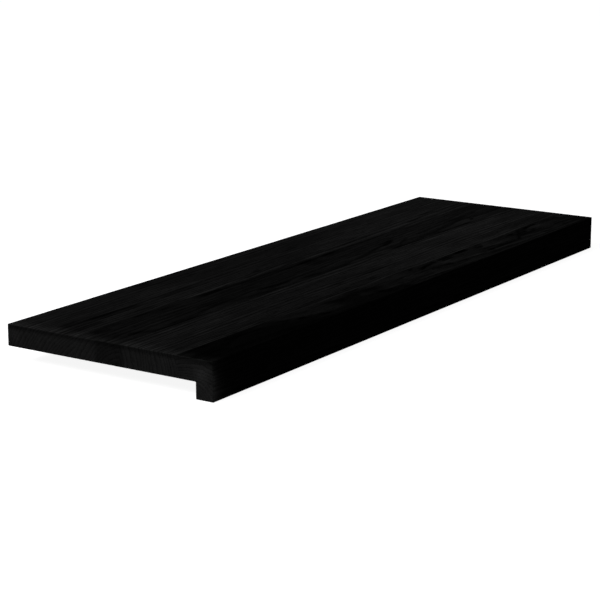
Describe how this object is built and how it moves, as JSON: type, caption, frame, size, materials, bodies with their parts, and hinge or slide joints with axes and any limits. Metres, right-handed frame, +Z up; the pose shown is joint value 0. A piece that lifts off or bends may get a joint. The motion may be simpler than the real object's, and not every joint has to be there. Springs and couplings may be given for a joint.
{
  "type": "stair tread",
  "caption": "Stair tread that caps an existing step: a flat panel of hardwood boards glued edge to edge, with a strip glued under its front edge as a square nosing, stained black.",
  "frame": {"origin": "on the ground under the middle of the tread: middle of its length and depth, at the foot of the nosing strip", "axes": "+X along the tread, from the end near the camera in the picture to the far end; +Y from the nosing to the rear edge; +Z up"},
  "size_m": [1, 0.31, 0.049],
  "materials": {
    "rear_board": "black stain, matte, mid tone with open grain",
    "mid_rear_board": "black stain, matte, the darkest of the wide boards",
    "mid_front_board": "black stain, matte, the lightest board, fine straight grain",
    "front_board": "black stain, matte, near black with a lighter stretch",
    "nosing_wood": "black stain, matte, near black"
  },
  "bodies": {
    "root": {"stave_rear": "rear_board", "stave_mid_rear": "mid_rear_board", "stave_mid_front": "mid_front_board", "stave_front": "front_board", "nosing_strip": "nosing_wood"}
  },
  "joints": []
}
